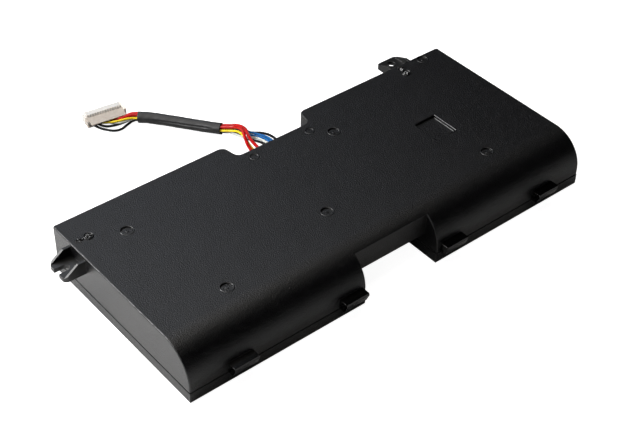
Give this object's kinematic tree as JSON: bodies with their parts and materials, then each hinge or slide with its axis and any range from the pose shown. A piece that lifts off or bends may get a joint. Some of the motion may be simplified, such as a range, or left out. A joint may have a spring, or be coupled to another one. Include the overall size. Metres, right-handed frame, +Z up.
{
  "type": "laptop battery pack",
  "caption": "Flat black battery pack with a rounded long side, a notch front and rear, screw ears, locating lugs and a sleeved flying lead with a plug.",
  "frame": {"origin": "under the middle of the case with its ears and lugs, on the surface it lies on", "axes": "+X along the long side, to the right seen from the rounded side; +Y from the rounded side to the lead; +Z up from the underside"},
  "size_m": [0.202, 0.164, 0.022],
  "materials": {
    "upper_case": "fine spark-eroded texture",
    "lower_case": "fine spark-eroded texture",
    "cell_wrap": "shrunk film wrap",
    "insulating_paper": "smooth paper",
    "nickel": "rolled nickel",
    "foam_tape": "foam",
    "circuit_board": "solder mask",
    "chip_body": "moulded epoxy",
    "red_insulation": "smooth",
    "yellow_insulation": "smooth",
    "white_insulation": "smooth",
    "blue_insulation": "smooth",
    "black_insulation": "smooth",
    "shrink_tube": "satin",
    "plug_plastic": "ivory nylon",
    "tinned_contact": "tinned"
  },
  "bodies": {
    "root": {"upper_shell": "upper_case", "lower_shell": "lower_case", "cell_1": "cell_wrap", "cell_2": "cell_wrap", "cell_3": "cell_wrap", "cell_4": "cell_wrap", "cell_5": "cell_wrap", "cell_6": "cell_wrap", "cell_7": "cell_wrap", "cell_8": "cell_wrap", "insulator_ring_1": "insulating_paper", "insulator_ring_2": "insulating_paper", "insulator_ring_3": "insulating_paper", "insulator_ring_4": "insulating_paper", "insulator_ring_5": "insulating_paper", "insulator_ring_6": "insulating_paper", "insulator_ring_7": "insulating_paper", "insulator_ring_8": "insulating_paper", "near_card_left": "insulating_paper", "near_card_right": "insulating_paper", "far_card_left": "insulating_paper", "far_card_right": "insulating_paper", "positive_strip": "nickel", "negative_strip": "nickel", "link_strip": "nickel", "far_strip_left": "nickel", "far_strip_right": "nickel", "cell_tape_left": "foam_tape", "cell_tape_right": "foam_tape", "protection_board": "circuit_board", "gauge_chip": "chip_body", "charge_switch": "chip_body", "discharge_switch": "chip_body", "thermal_fuse": "chip_body", "sense_resistor": "chip_body", "thermistor": "chip_body", "sense_wire_left": "white_insulation", "sense_wire_right": "white_insulation", "red_wire_1": "red_insulation", "red_wire_2": "red_insulation", "yellow_wire": "yellow_insulation", "white_wire": "white_insulation", "blue_wire_1": "blue_insulation", "blue_wire_2": "blue_insulation", "black_wire_1": "black_insulation", "black_wire_2": "black_insulation", "shrink_sleeve": "shrink_tube", "plug_housing": "plug_plastic", "contact_1": "tinned_contact", "contact_2": "tinned_contact", "contact_3": "tinned_contact", "contact_4": "tinned_contact", "contact_5": "tinned_contact", "contact_6": "tinned_contact", "contact_7": "tinned_contact", "contact_8": "tinned_contact"}
  },
  "joints": []
}
